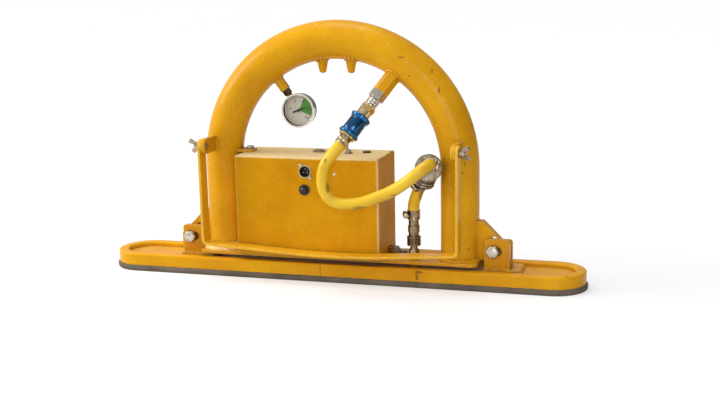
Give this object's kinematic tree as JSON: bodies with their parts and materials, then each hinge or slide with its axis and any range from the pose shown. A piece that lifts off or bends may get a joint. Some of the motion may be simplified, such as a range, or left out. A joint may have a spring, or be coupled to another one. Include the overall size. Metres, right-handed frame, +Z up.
{
  "type": "vacuum lifter",
  "caption": "Vacuum lifter: long narrow oval suction pad under a tube arch that carries a pump box, vacuum gauge, slide valve with hose and filter, and a swinging front bail.",
  "frame": {"origin": "middle of the pad's underside, in the plane of the seal's face", "axes": "+X along the pad with the slide valve's end, +Y away from the front bail, +Z up to the crane hook"},
  "size_m": [0.9558, 0.1943, 0.4934],
  "materials": {
    "yellow_paint": "gloss enamel over steel, scuffed at edges",
    "seal_foam": "dull closed-cell rubber",
    "plated_steel": "dull zinc plate",
    "brass": "dull machined brass",
    "valve_metal": "machined",
    "blue_sleeve": "blue anodised, satin",
    "black_enamel": "black enamel",
    "dial_print": "printed matt face",
    "lens_glass": "clear",
    "hose_pvc": "yellow reinforced hose, slightly clear",
    "filter_grey": "smoky grey canister",
    "black_plastic": "matt",
    "lamp_lens": "small lamp lens",
    "tube_rubber": "plain suction tube"
  },
  "bodies": {
    "lifter": {"pad_rim": "yellow_paint", "pad_plate": "yellow_paint", "doubler_plates": "yellow_paint", "pad_lugs": "yellow_paint", "pad_port": "yellow_paint", "arch_bend": "yellow_paint", "left_leg": "yellow_paint", "right_leg": "yellow_paint", "base_plate": "yellow_paint", "gussets": "yellow_paint", "hook_lugs": "yellow_paint", "gauge_boss": "yellow_paint", "valve_boss": "yellow_paint", "bail_lugs": "yellow_paint", "hold_down_tab": "yellow_paint", "box_case": "yellow_paint", "back_cover": "yellow_paint", "pad_seal": "seal_foam", "pad_bolts": "plated_steel", "pad_nuts": "plated_steel", "bail_bolts": "plated_steel", "case_screws": "plated_steel", "box_bolts": "plated_steel", "box_clip": "plated_steel", "hose_clamps": "plated_steel", "ring_staple": "plated_steel", "steel_fitting": "plated_steel", "plug_nipple": "plated_steel", "coupler_body": "plated_steel", "reservoir_nipple": "plated_steel", "pump_motor": "plated_steel", "charge_socket": "plated_steel", "button_ring": "plated_steel", "toggle_switch": "plated_steel", "brass_fitting": "brass", "gauge_stem": "brass", "valve_body": "valve_metal", "pump_head": "valve_metal", "gauge_case": "black_enamel", "gauge_bezel": "black_enamel", "gauge_dial": "dial_print", "gauge_lens": "lens_glass", "long_hose": "hose_pvc", "short_hose": "hose_pvc", "inline_filter": "filter_grey", "alarm_buzzer": "black_plastic", "battery": "black_plastic", "vacuum_switch": "black_plastic", "indicator_lamp": "lamp_lens", "suction_tubes": "tube_rubber"},
    "bail_body": {"bail": "yellow_paint"},
    "left_wing_nut_body": {"left_wing_nut": "plated_steel"},
    "right_wing_nut_body": {"right_wing_nut": "plated_steel"},
    "valve_sleeve_body": {"valve_sleeve": "blue_sleeve"},
    "coupler_sleeve_body": {"coupler_sleeve": "plated_steel"},
    "button_body": {"push_button": "black_plastic"},
    "toggle_lever_body": {"toggle_lever": "plated_steel"},
    "lid_ring_body": {"lid_ring": "plated_steel"},
    "pointer_body": {"gauge_pointer": "black_enamel"},
    "pump_shaft_body": {"pump_shaft": "plated_steel"}
  },
  "joints": [
    {"name": "bail_swing", "type": "hinge", "parent": "lifter", "child": "bail_body", "pos_m": [0, -0.08, 0.26], "axis": [-1, 0, 0], "range_deg": [0, 115]},
    {"name": "left_wing_nut_turn", "type": "hinge", "parent": "lifter", "child": "left_wing_nut_body", "pos_m": [-0.258, -0.08, 0.26], "axis": [-1, 0, 0], "continuous": true},
    {"name": "right_wing_nut_turn", "type": "hinge", "parent": "lifter", "child": "right_wing_nut_body", "pos_m": [0.258, -0.08, 0.26], "axis": [1, 0, 0], "continuous": true},
    {"name": "valve_slide", "type": "slide", "parent": "lifter", "child": "valve_sleeve_body", "axis": [0.4805, 0.5, 0.7205], "range_m": [0, 0.012]},
    {"name": "coupler_release", "type": "slide", "parent": "lifter", "child": "coupler_sleeve_body", "axis": [0, 0, 1], "range_m": [0, 0.007], "stiffness_N_per_m": 1500},
    {"name": "button_press", "type": "slide", "parent": "lifter", "child": "button_body", "axis": [0, 1, 0], "range_m": [0, 0.003], "stiffness_N_per_m": 600},
    {"name": "toggle_throw", "type": "hinge", "parent": "lifter", "child": "toggle_lever_body", "pos_m": [0.018, 0.004, 0.243], "axis": [0, 1, 0], "range_deg": [0, 24]},
    {"name": "lid_ring_flip", "type": "hinge", "parent": "lifter", "child": "lid_ring_body", "pos_m": [-0.044, 0.014, 0.2429], "axis": [-1, 0, 0], "range_deg": [0, 100]},
    {"name": "gauge_pointer_turn", "type": "hinge", "parent": "lifter", "child": "pointer_body", "pos_m": [-0.07614, 0, 0.32289], "axis": [0, 1, 0], "range_deg": [-205, 65]},
    {"name": "pump_spin", "type": "hinge", "parent": "lifter", "child": "pump_shaft_body", "pos_m": [0.0125, 0, 0.083], "axis": [1, 0, 0], "continuous": true}
  ]
}
